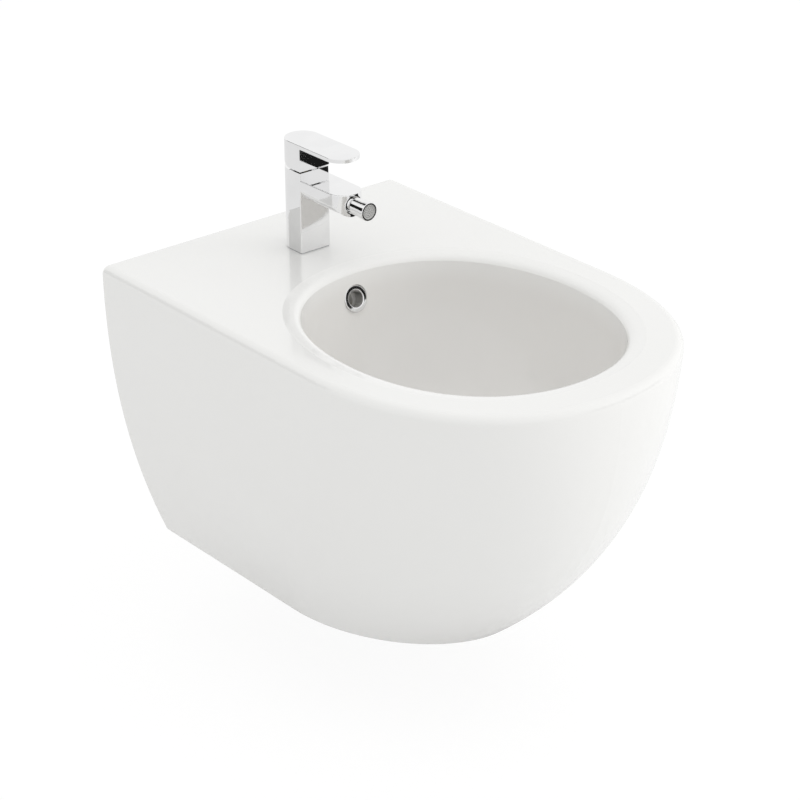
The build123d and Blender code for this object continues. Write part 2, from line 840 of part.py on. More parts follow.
# Lever handle: side profile cut to the plan, hollow below with a boss for the spindle
skirt_bottom = tower_top + lever_gap
relief_angle = lever_lift + lever_relief_extra
screw_plane = Plane(
    origin=(0, tap_y + tower_half, rim_z + screw_height), x_dir=(-1, 0, 0), z_dir=(0, 1, 0)
)

with BuildPart() as lever_handle:
    with BuildSketch(Plane.YZ) as lever_profile:
        with BuildLine():
            plate_bottom = rim_z + lever_top - plate_thickness
            Polyline(
                (tap_y + tower_half, rim_z + lever_top),
                (tap_y - lever_tip_reach, rim_z + lever_top),
                (tap_y - lever_tip_reach, plate_bottom),
                (tap_y - tower_half, plate_bottom),
                (tap_y - tower_half, rim_z + skirt_bottom),
                (tap_y, rim_z + skirt_bottom),
                (tap_y + tower_half, rim_z + skirt_bottom + tower_half * tan(radians(relief_angle))),
                close=True,
            )
        make_face()
        inner_corner = lever_profile.vertices().sort_by_distance(
            (0, tap_y - tower_half, plate_bottom)
        )[0]
        fillet(inner_corner, radius=lever_sweep_radius)
    extrude(amount=tower_half, both=True)
    with BuildSketch(tap_plane(skirt_bottom)):
        with BuildLine():
            tip_centre = tower_half - lever_tip_reach
            Line((tower_half, 0), (tower_half, tip_centre))
            ThreePointArc((tower_half, tip_centre), (0, -lever_tip_reach), (-tower_half, tip_centre))
            Line((-tower_half, tip_centre), (-tower_half, 0))
            ThreePointArc((-tower_half, 0), (0, tower_half), (tower_half, 0))
        make_face()
    extrude(amount=lever_top, mode=Mode.INTERSECT)
    fillet(lever_handle.edges().group_by(Axis.Z)[-1], radius=lever_edge_radius)
    with BuildSketch(tap_plane(skirt_bottom)):
        Circle(lever_hollow_radius)
        Circle(lever_boss_radius, mode=Mode.SUBTRACT)
    extrude(amount=lever_hollow_height, mode=Mode.SUBTRACT)
    with BuildSketch(tap_plane(skirt_bottom)):
        Circle(lever_hollow_radius)
    extrude(amount=lever_boss_rise, mode=Mode.SUBTRACT)
    with BuildSketch(tap_plane(skirt_bottom)):
        Rectangle(spindle_size, spindle_size)
    extrude(amount=spindle_top_height - skirt_bottom, mode=Mode.SUBTRACT)
    with BuildSketch(screw_plane):
        Circle(cap_radius)
    extrude(amount=-cap_thickness - cap_recess, mode=Mode.SUBTRACT)
    with BuildSketch(screw_plane):
        Circle(screw_radius)
    extrude(amount=spindle_size / 2 - tower_half, mode=Mode.SUBTRACT)
lever_handle.part.label = "lever_handle"
export_step(lever_handle.part, "parts/lever_handle.step")

with BuildPart() as lever_screw:
    with BuildSketch(screw_plane.offset(spindle_size / 2 - tower_half)):
        Circle(screw_radius)
    extrude(amount=screw_length)
    with BuildSketch(screw_plane.offset(spindle_size / 2 - tower_half + screw_length)):
        RegularPolygon(screw_key_flats / 2, 6, major_radius=False)
    extrude(amount=-screw_key_depth, mode=Mode.SUBTRACT)
lever_screw.part.label = "lever_screw"
export_step(lever_screw.part, "parts/lever_screw.step")

with BuildPart() as screw_cap:
    with BuildSketch(screw_plane.offset(-cap_thickness - cap_recess)):
        Circle(cap_radius)
    extrude(amount=cap_thickness)
    fillet(screw_cap.edges().group_by(Axis.Y)[-1], radius=cap_edge_radius)
screw_cap.part.label = "screw_cap"
export_step(screw_cap.part, "parts/screw_cap.step")

# Nozzle and its ball joint. Distances run forwards from the ball's centre.
ball_centre_y = tap_y - spout_reach + ball_setback
nozzle_start = ball_setback + neck_gap
nozzle_end = nozzle_reach - spout_reach + ball_setback
axis_z = rim_z + spout_axis
seat_rear = socket_depth - ball_setback


def turned(points):
    """Revolves a half profile of (distance forwards, radius) points about the nozzle axis."""
    with BuildPart() as form:
        with BuildSketch(Plane.YZ):
            with BuildLine():
                Polyline(*[(ball_centre_y - d, axis_z + r) for d, r in points], close=True)
            make_face()
        revolve(axis=Axis((0, ball_centre_y, axis_z), (0, 1, 0)))
    return form.part


with BuildPart() as ball_form:
    with Locations((0, ball_centre_y, axis_z)):
        Sphere(ball_radius)

with BuildPart() as ball_clearance:
    with Locations((0, ball_centre_y, axis_z)):
        Sphere(ball_radius + running_gap)

with BuildPart() as nozzle_seat:
    add(
        turned(
            [
                (-seat_rear + slip_gap, neck_radius),
                (-seat_rear + slip_gap, socket_radius - running_gap),
                (-seat_front, socket_radius - running_gap),
                (-seat_front, ball_radius - seat_rim),
                (-seat_throat, neck_radius),
            ]
        )
    )
    add(ball_clearance.part, mode=Mode.SUBTRACT)
nozzle_seat.part.label = "nozzle_seat"
export_step(nozzle_seat.part, "parts/nozzle_seat.step")

with BuildPart() as nozzle_retainer:
    add(
        turned(
            [
                (ball_setback - retainer_length, retainer_lip),
                (ball_setback - retainer_length, socket_radius),
                (ball_setback, socket_radius),
                (ball_setback, ball_radius),
                (ball_setback - retainer_length + retainer_slope, retainer_lip),
            ]
        )
    )
    add(ball_clearance.part, mode=Mode.SUBTRACT)
nozzle_retainer.part.label = "nozzle_retainer"
export_step(nozzle_retainer.part, "parts/nozzle_retainer.step")

insert_front = nozzle_end - insert_recess
insert_back = insert_front - insert_thickness
ring_start = nozzle_end - end_ring_length
ring_bore = nozzle_radius - end_ring_lip

with BuildPart() as nozzle_body:
    add(ball_form.part)
    add(
        turned(
            [
                (0, 0),
                (0, neck_radius),
                (nozzle_start, neck_radius),
                (nozzle_start, nozzle_radius - nozzle_back_chamfer),
                (nozzle_start + nozzle_back_chamfer, nozzle_radius),
                (ring_start, nozzle_radius),
                (ring_start, ring_bore),
                (insert_back, ring_bore),
                (insert_back, 0),
            ]
        )
    )
    with BuildSketch(Plane((0, ball_centre_y + ball_radius, axis_z), x_dir=(1, 0, 0), z_dir=(0, -1, 0))):
        Circle(nozzle_bore)
    extrude(amount=ball_radius + insert_back, mode=Mode.SUBTRACT)
nozzle_body.part.label = "nozzle_body"
export_step(nozzle_body.part, "parts/nozzle_body.step")

with BuildPart() as nozzle_end_ring:
    add(
        turned(
            [
                (ring_start, ring_bore),
                (ring_start, end_ring_radius - ring_back_chamfer),
                (ring_start + ring_back_chamfer, end_ring_radius),
                (nozzle_end - ring_front_chamfer, end_ring_radius),
                (nozzle_end, end_ring_radius - ring_front_chamfer),
                (nozzle_end, ring_bore),
            ]
        )
    )
nozzle_end_ring.part.label = "nozzle_end_ring"
export_step(nozzle_end_ring.part, "parts/nozzle_end_ring.step")

with BuildPart() as flow_insert:
    front_plane = Plane((0, ball_centre_y - insert_front, axis_z), x_dir=(1, 0, 0), z_dir=(0, -1, 0))
    with BuildSketch(front_plane):
        Circle(ring_bore)
        Circle(jet_hole_radius, mode=Mode.SUBTRACT)
        for ring in range(1, jet_rings + 1):
            with PolarLocations(ring * jet_pitch, 6 * ring):
                Circle(jet_hole_radius, mode=Mode.SUBTRACT)
    extrude(amount=-insert_thickness)
flow_insert.part.label = "flow_insert"
export_step(flow_insert.part, "parts/flow_insert.step")

# Waste. Levels step down from the recess in the bowl floor.
recess_floor = bowl_floor - drain_recess_depth
flange_bottom = recess_floor + flange_seal_thickness
flange_top = flange_bottom + flange_thickness
tube_bottom = flange_bottom - waste_tube_length
boss_bottom = bowl_floor - drain_boss_depth
spider_top = flange_top - spider_below_flange


def drain_plane(z):
    """Level plane on the drain's axis."""
    return Plane((0, drain_y, z))


with BuildPart() as flange_seal:
    with BuildSketch(drain_plane(recess_floor)):
        Circle(flange_radius - flange_seal_inset)
        Circle(drain_bore / 2, mode=Mode.SUBTRACT)
    extrude(amount=flange_seal_thickness)
flange_seal.part.label = "flange_seal"
export_step(flange_seal.part, "parts/flange_seal.step")

with BuildPart() as waste_body:
    with BuildSketch(drain_plane(flange_bottom)):
        Circle(flange_radius)
    extrude(amount=flange_thickness)
    fillet(waste_body.edges().group_by(Axis.Z)[-1], radius=flange_edge_radius)
    with BuildSketch(drain_plane(tube_bottom)):
        Circle(waste_tube_radius)
    extrude(amount=waste_tube_length)
    with BuildSketch(drain_plane(tube_bottom)):
        Circle(waste_tube_bore)
    extrude(amount=waste_tube_length + flange_thickness, mode=Mode.SUBTRACT)
    # Crossed arms and hub that guide the plug's stem
    with BuildSketch(drain_plane(spider_top)):
        Rectangle(2 * (waste_tube_bore + spider_root), spider_arm)
        Rectangle(spider_arm, 2 * (waste_tube_bore + spider_root))
        Circle(spider_hub_radius)
    extrude(amount=-spider_thickness)
    with BuildSketch(drain_plane(spider_top)):
        Circle(plug_stem_radius + running_gap)
    extrude(amount=-spider_thickness, mode=Mode.SUBTRACT)
    # Overflow slots in front and behind
    with BuildSketch(Plane.XZ.offset(drain_from_wall)):
        with Locations((0, flange_bottom - slot_below_flange)):
            RectangleRounded(slot_width, slot_height, slot_corner_radius)
    extrude(amount=waste_tube_radius + 1, both=True, mode=Mode.SUBTRACT)
waste_body.part.label = "waste_body"
export_step(waste_body.part, "parts/waste_body.step")

plug_bottom = flange_top + plug_seal_thickness
with BuildPart() as plug_cap:
    with BuildSketch(drain_plane(plug_bottom)):
        Circle(plug_radius)
    extrude(amount=plug_thickness)
    fillet(plug_cap.edges().group_by(Axis.Z)[-1], radius=plug_edge_radius)
plug_cap.part.label = "plug_cap"
export_step(plug_cap.part, "parts/plug_cap.step")

with BuildPart() as plug_seal:
    with BuildSketch(drain_plane(flange_top)):
        Circle(plug_seal_radius)
        Circle(plug_stem_radius, mode=Mode.SUBTRACT)
    extrude(amount=plug_seal_thickness)
plug_seal.part.label = "plug_seal"
export_step(plug_seal.part, "parts/plug_seal.step")

with BuildPart() as plug_stem:
    with BuildSketch(drain_plane(plug_bottom)):
        Circle(plug_stem_radius)
    extrude(amount=-plug_stem_length)
    chamfer(plug_stem.edges().group_by(Axis.Z)[0], length=stem_end_chamfer)
plug_stem.part.label = "plug_stem"
export_step(plug_stem.part, "parts/plug_stem.step")

with BuildPart() as lower_seal:
    with BuildSketch(drain_plane(boss_bottom)):
        Circle(lower_seal_radius)
        Circle(waste_tube_radius, mode=Mode.SUBTRACT)
    extrude(amount=-lower_seal_thickness)
    chamfer(lower_seal.edges().group_by(Axis.Z)[0].sort_by(SortBy.LENGTH)[-1], length=lower_seal_chamfer)
lower_seal.part.label = "lower_seal"
export_step(lower_seal.part, "parts/lower_seal.step")

lock_nut_top = boss_bottom - lower_seal_thickness
with BuildPart() as lock_nut:
    with BuildSketch(drain_plane(lock_nut_top)):
        Circle(lock_nut_radius)
        with PolarLocations(lock_nut_radius, lock_nut_ribs):
            Rectangle(lock_rib_depth, lock_rib_width)
        Circle(waste_tube_radius, mode=Mode.SUBTRACT)
    extrude(amount=-lock_nut_height)
lock_nut.part.label = "lock_nut"
export_step(lock_nut.part, "parts/lock_nut.step")

# Bottle trap, hung from the waste tube
trap_seal_top = tube_bottom
collar_top = trap_seal_top - trap_seal_thickness
collar_bottom = collar_top - trap_collar_thickness
trap_nut_bottom = collar_bottom - trap_wall
trap_nut_top = trap_nut_bottom + trap_nut_height
head_top = trap_nut_bottom - trap_nut_gap
head_bottom = head_top - trap_head_height
cup_bottom = head_bottom - trap_cup_height
outlet_z = head_top - outlet_radius - outlet_below_head
head_bore = trap_head_radius - trap_wall
outlet_tail_radius = outlet_radius - outlet_tail_step


def ribbed_ring(radius, bore, count):
    """Sketch of a hand nut seen end on: a ring with round grip ribs."""
    with BuildSketch() as ring:
        Circle(radius)
        with PolarLocations(radius, count):
            Circle(rib_radius)
        Circle(bore, mode=Mode.SUBTRACT)
    return ring.sketch


with BuildPart() as trap_seal:
    with BuildSketch(drain_plane(trap_seal_top)):
        Circle(waste_tube_radius)
        Circle(dip_tube_radius, mode=Mode.SUBTRACT)
    extrude(amount=-trap_seal_thickness)
trap_seal.part.label = "trap_seal"
export_step(trap_seal.part, "parts/trap_seal.step")

with BuildPart() as trap_nut:
    with BuildSketch(drain_plane(trap_nut_top)):
        add(ribbed_ring(trap_nut_radius, waste_tube_radius, nut_ribs))
    extrude(amount=collar_bottom - trap_nut_top)
    with BuildSketch(drain_plane(collar_bottom)):
        add(ribbed_ring(trap_nut_radius, trap_neck_radius + trap_fit_gap, nut_ribs))
    extrude(amount=-trap_wall)
trap_nut.part.label = "trap_nut"
export_step(trap_nut.part, "parts/trap_nut.step")

outlet_plane = Plane((0, drain_y, outlet_z), x_dir=(1, 0, 0), z_dir=(0, 1, 0))
with BuildPart() as trap_head:
    with BuildSketch(drain_plane(collar_top)):
        Circle(waste_tube_radius - trap_fit_gap)
    extrude(amount=-trap_collar_thickness)
    with BuildSketch(drain_plane(collar_bottom)):
        Circle(trap_neck_radius)
    extrude(amount=head_top - collar_bottom)
    with BuildSketch(drain_plane(head_top)):
        Circle(trap_head_radius)
    extrude(amount=-trap_head_height)
    fillet(
        trap_head.edges().filter_by(GeomType.CIRCLE).filter_by(
            lambda e: abs(e.center().Z - head_top) < 0.01 and e.radius > trap_head_radius - 0.01
        ),
        radius=trap_shoulder_radius,
    )
    with BuildSketch(outlet_plane):
        Circle(outlet_radius + outlet_wall)
    extrude(amount=outlet_branch)
    with BuildSketch(drain_plane(head_bottom)):
        Circle(head_bore)
    extrude(amount=trap_head_height - trap_wall, mode=Mode.SUBTRACT)
    with BuildSketch(drain_plane(collar_top)):
        Circle(dip_tube_radius)
    extrude(amount=head_top - collar_top - trap_wall, mode=Mode.SUBTRACT)
    with BuildSketch(outlet_plane.offset(trap_head_radius - 2 * trap_wall)):
        Circle(outlet_tail_radius)
    extrude(amount=outlet_branch, mode=Mode.SUBTRACT)
trap_head.part.label = "trap_head"
export_step(trap_head.part, "parts/trap_head.step")

with BuildPart() as dip_tube:
    with BuildSketch(drain_plane(collar_top)):
        Circle(dip_tube_radius)
        Circle(dip_tube_radius - dip_tube_wall, mode=Mode.SUBTRACT)
    extrude(amount=-dip_tube_length)
dip_tube.part.label = "dip_tube"
export_step(dip_tube.part, "parts/dip_tube.step")

with BuildPart() as cup_seal:
    with BuildSketch(drain_plane(head_bottom)):
        Circle(trap_head_radius)
        Circle(head_bore, mode=Mode.SUBTRACT)
    extrude(amount=-cup_seal_thickness)
cup_seal.part.label = "cup_seal"
export_step(cup_seal.part, "parts/cup_seal.step")

with BuildPart() as trap_cup:
    with BuildSketch(drain_plane(head_bottom + trap_cup_lip)):
        add(ribbed_ring(trap_head_radius + trap_wall, trap_head_radius, nut_ribs))
    extrude(amount=-trap_cup_lip - cup_seal_thickness)
    with BuildSketch(drain_plane(head_bottom - cup_seal_thickness)):
        Circle(trap_head_radius + trap_wall)
    extrude(amount=cup_bottom - head_bottom + cup_seal_thickness)
    fillet(trap_cup.edges().group_by(Axis.Z)[0], radius=trap_cup_edge_radius)
    with BuildSketch(drain_plane(head_bottom - cup_seal_thickness)):
        Circle(head_bore)
    extrude(
        amount=cup_bottom - head_bottom + cup_seal_thickness + trap_wall, mode=Mode.SUBTRACT
    )
trap_cup.part.label = "trap_cup"
export_step(trap_cup.part, "parts/trap_cup.step")

branch_end_y = drain_y + outlet_branch
pipe_start_y = branch_end_y - outlet_pipe_overlap
tail_end_y = branch_end_y + outlet_nut_grip
# The pipe's slimmer tail stands in the branch and the nut
with BuildPart() as outlet_pipe:
    with BuildSketch(Plane((0, pipe_start_y, outlet_z), x_dir=(1, 0, 0), z_dir=(0, 1, 0))):
        Circle(outlet_tail_radius)
    extrude(amount=tail_end_y - pipe_start_y)
    with BuildSketch(Plane((0, tail_end_y, outlet_z), x_dir=(1, 0, 0), z_dir=(0, 1, 0))):
        Circle(outlet_radius)
    extrude(amount=-tail_end_y)
    with BuildSketch(Plane((0, pipe_start_y, outlet_z), x_dir=(1, 0, 0), z_dir=(0, 1, 0))):
        Circle(outlet_radius - outlet_wall)
    extrude(amount=-pipe_start_y, mode=Mode.SUBTRACT)
outlet_pipe.part.label = "outlet_pipe"
export_step(outlet_pipe.part, "parts/outlet_pipe.step")

outlet_nut_start = branch_end_y - outlet_nut_cover
with BuildPart() as outlet_nut:
    with BuildSketch(Plane((0, outlet_nut_start, outlet_z), x_dir=(1, 0, 0), z_dir=(0, 1, 0))):
        add(ribbed_ring(outlet_nut_radius, outlet_radius + outlet_wall, nut_ribs))
    extrude(amount=outlet_nut_cover)
    with BuildSketch(Plane((0, branch_end_y, outlet_z), x_dir=(1, 0, 0), z_dir=(0, 1, 0))):
        add(ribbed_ring(outlet_nut_radius, outlet_tail_radius, nut_ribs))
    extrude(amount=outlet_nut_grip)
outlet_nut.part.label = "outlet_nut"
export_step(outlet_nut.part, "parts/outlet_nut.step")

print("overflow at", round(overflow_y, 2), round(overflow_z, 2))
print("outlet pipe axis", round(outlet_z, 2), "trap bottom", round(cup_bottom, 2), "base", base_z)
print("disc travel", round(spindle_arm * radians(lever_lift), 3))
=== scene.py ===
"""Looks of a wall hung bidet with its single lever mixer. Metres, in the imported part's own frame."""
import json
import math

import bpy
from mathutils import Matrix, Vector


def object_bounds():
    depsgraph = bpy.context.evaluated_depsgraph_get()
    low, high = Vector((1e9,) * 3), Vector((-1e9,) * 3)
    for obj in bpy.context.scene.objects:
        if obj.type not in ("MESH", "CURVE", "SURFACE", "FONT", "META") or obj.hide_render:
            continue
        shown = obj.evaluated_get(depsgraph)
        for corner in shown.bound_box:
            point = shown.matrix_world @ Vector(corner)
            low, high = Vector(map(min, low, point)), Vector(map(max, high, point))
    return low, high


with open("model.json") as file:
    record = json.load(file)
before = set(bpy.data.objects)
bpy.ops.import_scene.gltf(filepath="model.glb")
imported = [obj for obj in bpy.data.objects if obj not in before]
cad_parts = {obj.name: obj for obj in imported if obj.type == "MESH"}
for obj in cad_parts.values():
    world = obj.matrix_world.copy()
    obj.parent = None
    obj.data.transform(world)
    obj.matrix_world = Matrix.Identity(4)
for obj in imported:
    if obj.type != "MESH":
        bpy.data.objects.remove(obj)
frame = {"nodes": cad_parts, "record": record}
cad_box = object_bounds()
nodes = frame["nodes"]
slot_of = {piece["node"]: piece["material_slot"] for piece in frame["record"]["subparts"]}

# Places of the colour sockets on a Mix node, whose names repeat for each kind of data
mix_share = 0
mix_first = 6
mix_second = 7
mix_colour = 2


class Wire:
    """What comes out of a shader node. Arithmetic on it adds Math nodes."""

    def __init__(self, finish, socket):
        self.finish = finish
        self.socket = socket

    def maths(self, operation, *values):
        return self.finish.node("ShaderNodeMath", {"operation": operation}, dict(enumerate(values)))

    def __add__(self, other):
        return self.maths("ADD", self, other)

    def __mul__(self, other):
        return self.maths("MULTIPLY", self, other)

    __radd__ = __add__
    __rmul__ = __mul__

    def eased(self, low, high, at_low=0.0, at_high=1.0):
        """Smooth change from one value to another as this one goes from low to high."""
        sockets = {
            "Value": self,
            "From Min": low,
            "From Max": high,
            "To Min": at_low,
            "To Max": at_high,
        }
        return self.finish.node("ShaderNodeMapRange", {"interpolation_type": "SMOOTHSTEP"}, sockets)


class Finish:
    """A finish and the nodes that make it, on a new material or on the owner that is given."""

    def __init__(self, name, owner=None):
        self.owner = owner or bpy.data.materials.new(name)
        self.owner.use_nodes = True
        self.tree = self.owner.node_tree
        self.tree.nodes.clear()

    def node(self, kind, settings=None, sockets=None, out=0):
        """A node of any kind: its settings first, then the values or links of its sockets."""
        made = self.tree.nodes.new(kind)
        for name, value in (settings or {}).items():
            setattr(made, name, value)
        for name, value in (sockets or {}).items():
            socket = made.inputs[name]
            if isinstance(value, Wire):
                self.tree.links.new(value.socket, socket)
            elif socket.type == "RGBA":
                socket.default_value = (*value, 1.0)
            else:
                socket.default_value = value
        return Wire(self, made.outputs[out]) if made.outputs else None

    def place(self):
        return self.node("ShaderNodeTexCoord", out="Object")

    def stretched(self, x, y, z):
        """Place scaled along each axis, for a pattern with a grain."""
        sockets = {0: self.place(), 1: (x, y, z)}
        return self.node("ShaderNodeVectorMath", {"operation": "MULTIPLY"}, sockets)

    def noise(self, scale, detail=3.0, roughness=0.5, place=None):
        """Cloudy pattern, finer as its scale grows."""
        sockets = {
            "Vector": place or self.place(),
            "Scale": scale,
            "Detail": detail,
            "Roughness": roughness,
        }
        return self.node("ShaderNodeTexNoise", {"noise_dimensions": "3D"}, sockets)

    def blend(self, share, first, second):
        """Colour that goes from the first to the second as the share goes from 0 to 1."""
        sockets = {mix_share: share, mix_first: first, mix_second: second}
        return self.node("ShaderNodeMix", {"data_type": "RGBA"}, sockets, out=mix_colour)

    def bump(self, height, strength, distance):
        sockets = {"Strength": strength, "Distance": distance, "Height": height}
        return self.node("ShaderNodeBump", None, sockets)

    def done(self, **sockets):
        """The material, with one surface whose sockets are named with underscores for spaces."""
        named = {name.replace("_", " "): value for name, value in sockets.items()}
        surface = self.node("ShaderNodeBsdfPrincipled", None, named)
        self.node("ShaderNodeOutputMaterial", None, {"Surface": surface})
        return self.owner

    def one_sided(self, front):
        """The material, with the given shader on the front and nothing on the back."""
        behind = self.node("ShaderNodeBsdfTransparent", None, {"Color": (1.0, 1.0, 1.0)})
        backfacing = self.node("ShaderNodeNewGeometry", out="Backfacing")
        mixed = self.node("ShaderNodeMixShader", None, {0: backfacing, 1: front, 2: behind})
        self.node("ShaderNodeOutputMaterial", None, {"Surface": mixed})
        return self.owner


# Heights in the bowl where the painted shade in its glaze starts and where it is darkest
painted_shade_top_height = 0.076
painted_shade_full_height = 0.05


def white_glaze(name, painted_bowl_shade=False):
    """Fired white glaze: nearly even, with a faint ripple, and with painted shade, greyer and warmer,
    down in a bowl.
    """
    f = Finish(name)
    pooling = f.noise(4.0, 1.0).eased(0.3, 0.75)
    ripple = f.noise(26.0, 1.0, 0.4)
    colour = f.blend(pooling, (0.84, 0.839, 0.824), (0.832, 0.83, 0.814))
    if painted_bowl_shade:
        # Painted shade: further down in the bowl the glaze colour is blended towards a darker grey,
        # fully so below the lower height
        height = f.node("ShaderNodeSeparateXYZ", None, {"Vector": f.place()}, out="Z")
        depth = height.eased(painted_shade_full_height, painted_shade_top_height, 1.0, 0.0)
        colour = f.blend(depth, colour, (0.782, 0.771, 0.75))
    return f.done(
        Base_Color=colour,
        Roughness=f.noise(12.0, 1.0).eased(0.3, 0.7, 0.24, 0.27),
        IOR=1.5,
        Coat_Weight=0.6,
        Coat_Roughness=0.05,
        Coat_IOR=1.5,
        Normal=f.bump(ripple, 0.04, 0.0005),
    )


def bare_china():
    """Unglazed china on the hidden faces: dull, slightly sandy."""
    f = Finish("bare_china")
    patches = f.noise(25.0).eased(0.35, 0.65)
    grain = f.noise(700.0, 4.0)
    return f.done(
        Base_Color=f.blend(patches, (0.745, 0.72, 0.665), (0.722, 0.697, 0.642)),
        Roughness=grain.eased(0.2, 0.8, 0.7, 0.92),
        Normal=f.bump(grain, 0.35, 0.0004),
    )


def chrome_plate():
    """Polished chrome over brass: mirror bright with faint wiping marks."""
    f = Finish("chrome_plate")
    marks = f.noise(1.0, 3.0, 0.6, f.stretched(90.0, 90.0, 700.0))
    smear = f.noise(45.0, 2.0)
    waviness = f.noise(28.0, 1.0)
    return f.done(
        Base_Color=f.blend(smear.eased(0.4, 0.7), (0.86, 0.86, 0.862), (0.84, 0.84, 0.843)),
        Metallic=1.0,
        Roughness=smear.eased(0.35, 0.75, 0.03, 0.07) + marks.eased(0.6, 0.8, 0.0, 0.02),
        Normal=f.bump(waviness, 0.05, 0.0008),
    )


def zinc_plate():
    """Zinc plated steel with pale crystals."""
    f = Finish("zinc_plate")
    sockets = {"Vector": f.place(), "Scale": 260.0}
    spangle = f.node("ShaderNodeTexVoronoi", {"feature": "F1"}, sockets)
    return f.done(
        Base_Color=f.blend(spangle.eased(0.1, 0.6), (0.62, 0.63, 0.65), (0.7, 0.7, 0.69)),
        Metallic=1.0,
        Roughness=f.noise(150.0).eased(0.3, 0.7, 0.28, 0.42),
        Normal=f.bump(spangle, 0.12, 0.0002),
    )


# Length of one band of a wave pattern at a scale of 1
wave_length = math.pi / 10.0


def turned_brass(name, thread_pitch=None):
    """Brass from the lathe, with fine rings or a thread and a little tarnish."""
    f = Finish(name)
    tarnish = f.noise(60.0, 4.0).eased(0.45, 0.75)
    rings = f.noise(1.0, 2.0, 0.5, f.stretched(20.0, 20.0, 3500.0))
    if thread_pitch:
        settings = {"wave_type": "BANDS", "bands_direction": "Z", "wave_profile": "TRI"}
        sockets = {"Vector": f.place(), "Scale": wave_length / thread_pitch, "Distortion": 0.0}
        thread = f.node("ShaderNodeTexWave", settings, sockets)
        relief = f.bump(thread, 0.9, thread_pitch / 2)
    else:
        relief = f.bump(rings, 0.2, 0.0002)
    return f.done(
        Base_Color=f.blend(tarnish, (0.82, 0.64, 0.34), (0.55, 0.4, 0.2)),
        Metallic=1.0,
        Roughness=tarnish * 0.2 + rings.eased(0.3, 0.7, 0.22, 0.34),
        Normal=relief,
    )


def dull_surface(name, fresh, bloomed):
    """Dull surface with a dusty bloom, as on rubber or blackened metal."""
    f = Finish(name)
    bloom = f.noise(80.0, 5.0).eased(0.42, 0.72)
    return f.done(
        Base_Color=f.blend(bloom, fresh, bloomed),
        Roughness=bloom.eased(0.0, 1.0, 0.55, 0.78),
        Normal=f.bump(f.noise(1500.0, 2.0), 0.2, 0.0002),
    )


def moulded_plastic(name, colour, shade, smooth, rough):
    """Injection moulded plastic with a fine spark texture."""
    f = Finish(name)
    flow = f.noise(30.0, 2.0, 0.4, f.stretched(1.0, 1.0, 0.35)).eased(0.35, 0.7)
    spark = f.noise(1800.0, 2.0)
    return f.done(
        Base_Color=f.blend(flow, colour, shade),
        Roughness=f.noise(90.0).eased(0.3, 0.7, smooth, rough),
        Normal=f.bump(spark, 0.12, 0.00015),
    )


def lapped_alumina():
    """Fine ground ceramic of the valve discs."""
    f = Finish("lapped_alumina")
    specks = f.noise(1200.0, 3.0)
    return f.done(
        Base_Color=f.blend(specks.eased(0.4, 0.7), (0.87, 0.85, 0.8), (0.8, 0.78, 0.73)),
        Roughness=specks.eased(0.3, 0.7, 0.18, 0.3),
        Normal=f.bump(specks, 0.05, 0.0001),
    )


# Slot of each plastic: name, colour, shade, least and most roughness
plastics = {
    "nylon": ("natural_nylon", (0.8, 0.79, 0.75), (0.74, 0.73, 0.69), 0.35, 0.5),
    "cartridge_plastic": ("cartridge_plastic", (0.78, 0.77, 0.73), (0.7, 0.69, 0.65), 0.4, 0.55),
    "chrome_plastic": ("bright_plastic", (0.6, 0.61, 0.62), (0.52, 0.53, 0.54), 0.12, 0.2),
    "bearing_plastic": ("dark_acetal", (0.03, 0.03, 0.032), (0.05, 0.05, 0.052), 0.3, 0.42),
    "grey_plastic": ("grey_plastic", (0.5, 0.5, 0.49), (0.45, 0.45, 0.44), 0.35, 0.5),
    "trap_plastic": ("white_polypropylene", (0.82, 0.82, 0.8), (0.76, 0.76, 0.74), 0.25, 0.38),
}
finishes = {
    "ceramic": white_glaze("white_glaze"),
    "chrome_plate": chrome_plate(),
    "plated_steel": zinc_plate(),
    "clear_gasket": dull_surface("pale_gasket", (0.42, 0.43, 0.44), (0.5, 0.51, 0.52)),
    "stud_brass": turned_brass("turned_brass"),
    "black_rubber": dull_surface("black_rubber", (0.02, 0.02, 0.022), (0.06, 0.06, 0.062)),
    "disc_ceramic": lapped_alumina(),
}
for slot, looks in plastics.items():
    finishes[slot] = moulded_plastic(*looks)
for name, node in nodes.items():
    node.data.materials.clear()
    node.data.materials.append(finishes[slot_of[name]])

# Three pieces differ from the rest of their slot: the nut in the gap below the lever is blackened
stud_thread_pitch = 0.001
own_finishes = {
    # The bowl's glaze carries painted shade, darker further down in the bowl
    "ceramic_bowl": white_glaze("bowl_glaze_painted_shade", painted_bowl_shade=True),
    "fixing_stud": turned_brass("threaded_brass", stud_thread_pitch),
    "cartridge_nut": dull_surface("blackened_brass", (0.015, 0.013, 0.01), (0.03, 0.026, 0.02)),
}
for name, finish in own_finishes.items():
    nodes[name].data.materials[0] = finish

# The china is bare where no water or eye reaches: back, foot, hollow and underside of the bowl
bare = bare_china()
foot_height = cad_box[0].z
bolt_height = 0.0
just_below_deck = 0.0655
body_axis = Vector((0.0, -0.25, 0.0))
mouth_middle = Vector((0.0, -0.314, 0.08))

# How close to a plane a face counts as in it, and how far its normal has to lean to count as turned
flush = 0.001
square_on = 0.9
tilted = 0.5
turned_inwards = -0.01


def hidden_on_body(face):
    outward = (face.center - body_axis).to_2d()
    inwards = face.normal.to_2d().dot(outward) < turned_inwards
    in_hollow = inwards and face.center.z < just_below_deck
    under_deck = face.normal.z < -tilted and face.center.z > bolt_height
    on_wall = face.normal.y > square_on and face.center.y > -flush
    on_foot = face.normal.z < -square_on and face.center.z < foot_height + flush
    return in_hollow or under_deck or on_wall or on_foot


def hidden_on_bowl(face):
    outward = face.center - mouth_middle
    return face.center.z < just_below_deck and face.normal.dot(outward) > 0.0


for name, hidden in (("ceramic_body", hidden_on_body), ("ceramic_bowl", hidden_on_bowl)):
    mesh = nodes[name].data
    mesh.materials.append(bare)
    for face in mesh.polygons:
        face.material_index = 1 if hidden(face) else 0

